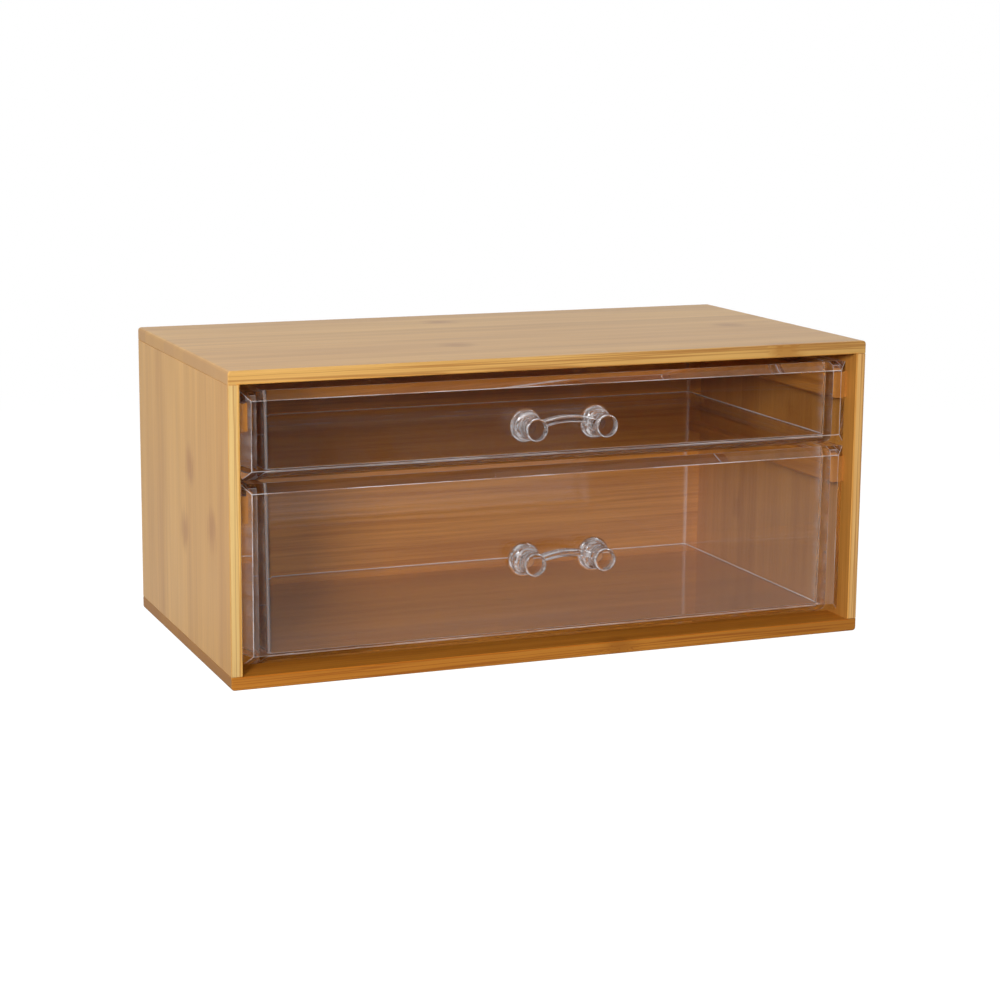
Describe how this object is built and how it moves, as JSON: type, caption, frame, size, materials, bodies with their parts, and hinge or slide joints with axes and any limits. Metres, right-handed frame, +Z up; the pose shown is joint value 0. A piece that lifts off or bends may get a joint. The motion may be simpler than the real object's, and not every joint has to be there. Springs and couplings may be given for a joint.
{
  "type": "tea bag drawer box",
  "caption": "Low bamboo tabletop box with clear bevelled drawers, a shallow one over a deep one, each slid out by a clear bow handle.",
  "frame": {"origin": "centre of the casing's flat underside, with both drawers shut", "axes": "+X to the right as seen from the front, +Y towards the back, +Z up; the drawers slide out along -Y"},
  "size_m": [0.31, 0.1715, 0.14],
  "materials": {
    "bamboo_board": "satin lacquer over caramel bamboo strips",
    "bamboo_strip": "sanded bamboo, thinly lacquered",
    "bamboo_pin": "bare bamboo",
    "clear_tray": "polished clear moulding",
    "clear_handle": "polished clear moulding"
  },
  "bodies": {
    "casing": {"top_panel": "bamboo_board", "bottom_panel": "bamboo_board", "left_side_panel": "bamboo_board", "right_side_panel": "bamboo_board", "back_panel": "bamboo_board", "top_panel_dowels": "bamboo_pin", "bottom_panel_dowels": "bamboo_pin", "runner_dowels": "bamboo_pin", "upper_left_runner": "bamboo_strip", "upper_right_runner": "bamboo_strip", "lower_left_runner": "bamboo_strip", "lower_right_runner": "bamboo_strip"},
    "upper_drawer": {"upper_tray": "clear_tray", "upper_handle": "clear_handle"},
    "lower_drawer": {"lower_tray": "clear_tray", "lower_handle": "clear_handle"}
  },
  "joints": [
    {"name": "upper_drawer_slide", "type": "slide", "parent": "casing", "child": "upper_drawer", "axis": [0, -1, 0], "range_m": [0, 0.12]},
    {"name": "lower_drawer_slide", "type": "slide", "parent": "casing", "child": "lower_drawer", "axis": [0, -1, 0], "range_m": [0, 0.12]}
  ]
}
